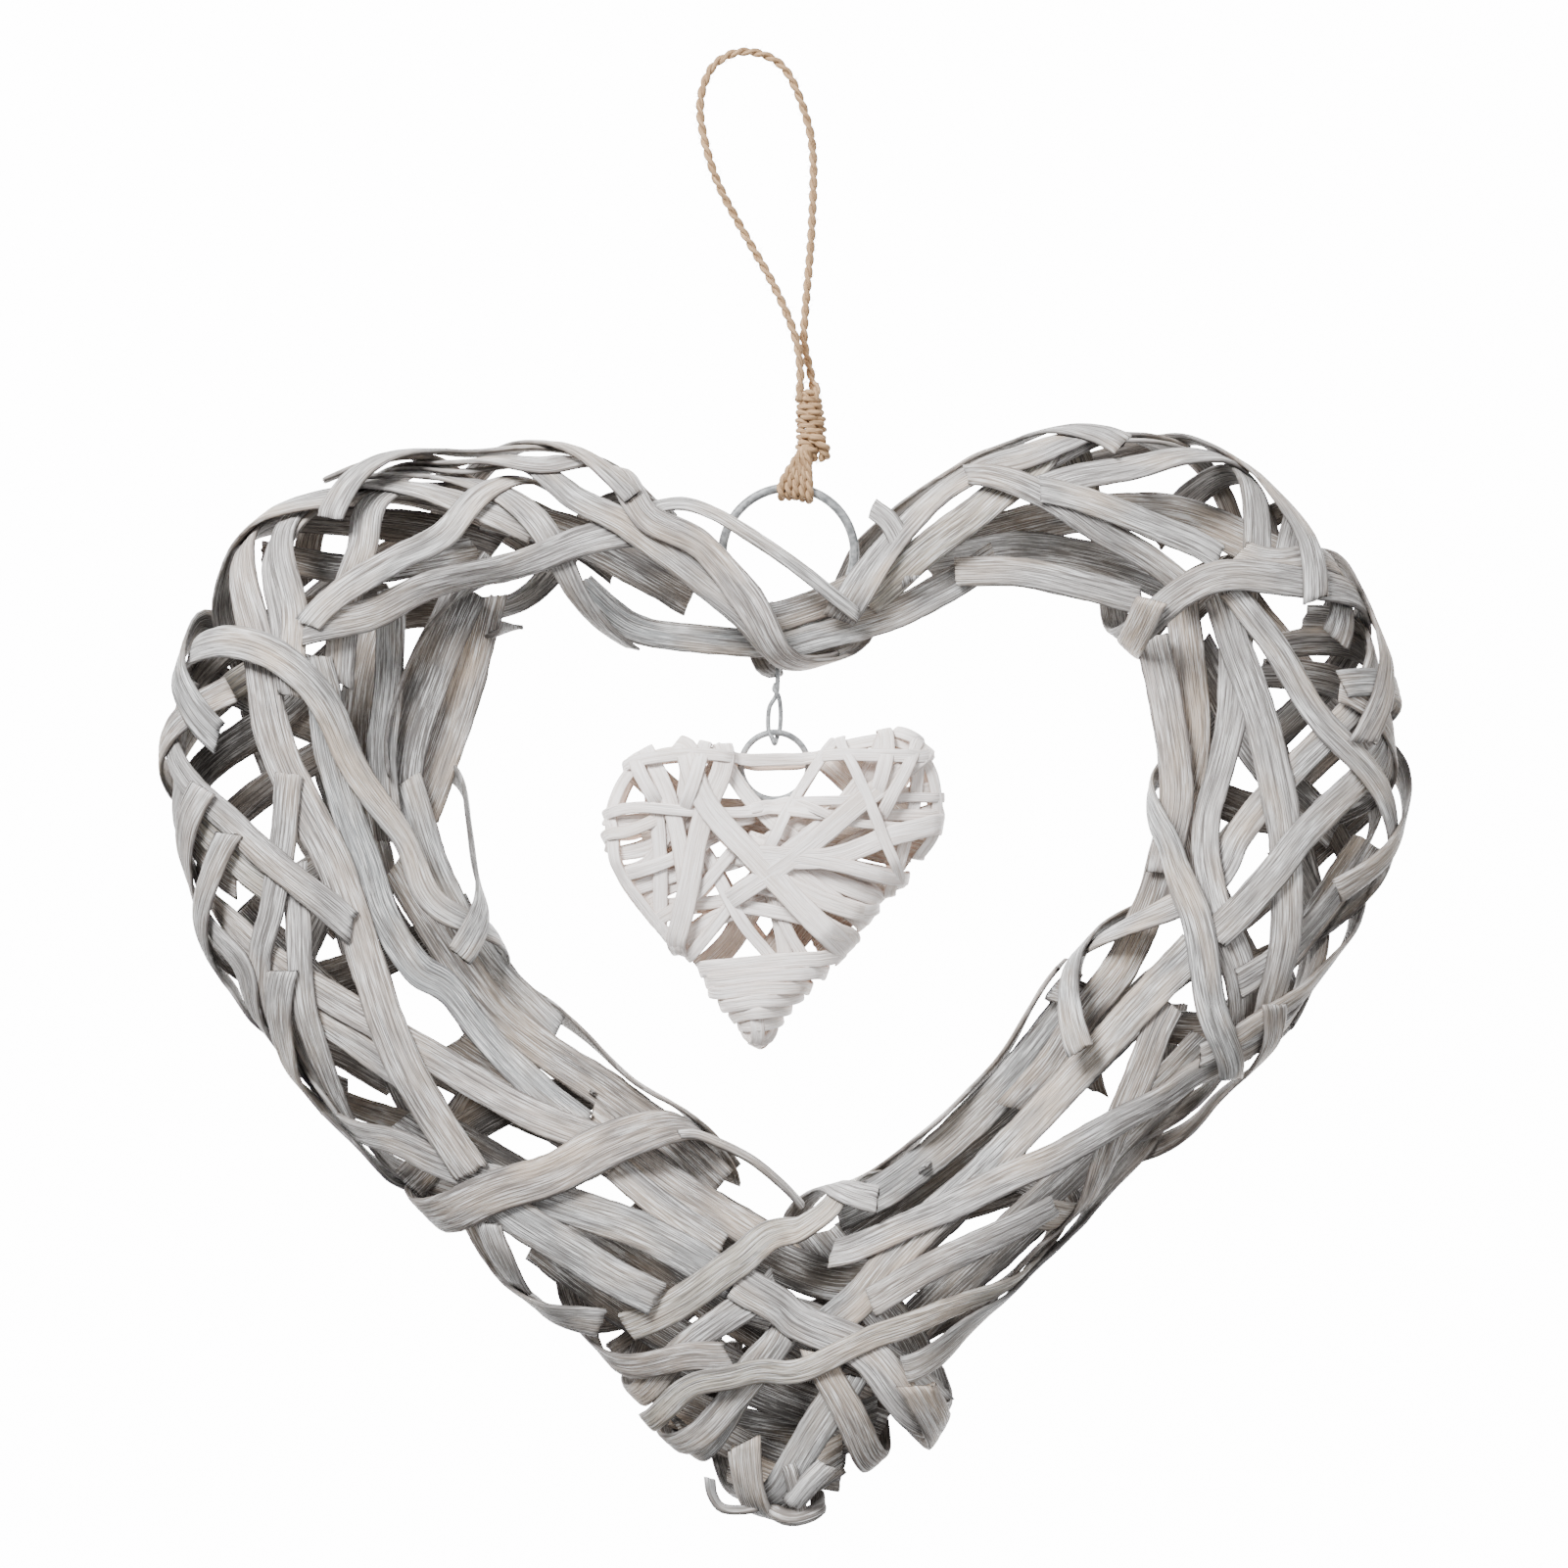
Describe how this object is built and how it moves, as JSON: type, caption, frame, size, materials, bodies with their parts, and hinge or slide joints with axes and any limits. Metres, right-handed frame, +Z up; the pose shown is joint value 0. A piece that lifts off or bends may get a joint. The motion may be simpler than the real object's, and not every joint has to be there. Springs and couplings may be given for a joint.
{
  "type": "heart-shaped wicker wreath",
  "caption": "Hanging heart wreath wound from grey-washed willow strips, with a small white willow heart on a wire in its opening and a jute twine loop.",
  "frame": {"origin": "inner top of the twine loop, where a nail or hook holds the wreath", "axes": "+Z up, front of the wreath faces -Y, +X to the right seen from the front"},
  "size_m": [0.253, 0.0463, 0.2973],
  "materials": {
    "washed_willow": "matte, white-washed grey willow",
    "white_willow": "matte, white-washed willow",
    "zinc_wire": "dull zinc",
    "jute_twine": "rough jute"
  },
  "bodies": {
    "root": {"left_inner_strip": "washed_willow", "right_inner_low_strip": "washed_willow", "right_inner_strip": "washed_willow", "right_upper_inner_strip": "washed_willow", "left_arch_inner_strip": "washed_willow", "right_arch_inner_strip": "washed_willow", "cleft_under_strip": "washed_willow", "left_side_back_strip": "washed_willow", "left_low_back_strip": "washed_willow", "right_side_back_strip": "washed_willow", "right_low_back_strip": "washed_willow", "left_arch_down_strip": "washed_willow", "left_side_rise_strip": "washed_willow", "left_low_strip": "washed_willow", "left_base_short_strip": "washed_willow", "right_arch_steep_strip": "washed_willow", "right_side_cross_strip": "washed_willow", "right_base_steep_strip": "washed_willow", "left_bluish_strip": "washed_willow", "left_long_low_strip": "washed_willow", "left_base_long_strip": "washed_willow", "right_base_wide_strip": "washed_willow", "right_edge_pair_strip": "washed_willow", "right_long_strip": "washed_willow", "right_rise_strip": "washed_willow", "right_fork_strip": "washed_willow", "left_low_upright_strip": "washed_willow", "tip_left_strip": "washed_willow", "tip_middle_strip": "washed_willow", "tip_right_strip": "washed_willow", "left_low_edge_strip": "washed_willow", "left_main_strip": "washed_willow", "left_arch_upright_strip": "washed_willow", "left_side_top_strip": "washed_willow", "left_arch_low_strip": "washed_willow", "left_arch_cut_strip": "washed_willow", "left_arch_long_strip": "washed_willow", "left_arch_rise_strip": "washed_willow", "left_cleft_strip": "washed_willow", "left_cleft_top_strip": "washed_willow", "right_arch_wide_strip": "washed_willow", "right_arch_long_strip": "washed_willow", "right_cleft_strip": "washed_willow", "right_arch_cross_strip": "washed_willow", "right_base_cross_strip": "washed_willow", "right_fold_strip": "washed_willow", "tip_square_strip": "washed_willow", "tip_long_strip": "washed_willow", "left_base_band_strip": "washed_willow", "right_collar_strip": "washed_willow", "tip_yellow_strip": "washed_willow", "left_collar_strip": "washed_willow", "small_heart": "white_willow", "large_ring": "zinc_wire", "small_ring": "zinc_wire", "hanger_wire": "zinc_wire", "twine_loop": "jute_twine", "twine_knot": "jute_twine"}
  },
  "joints": []
}
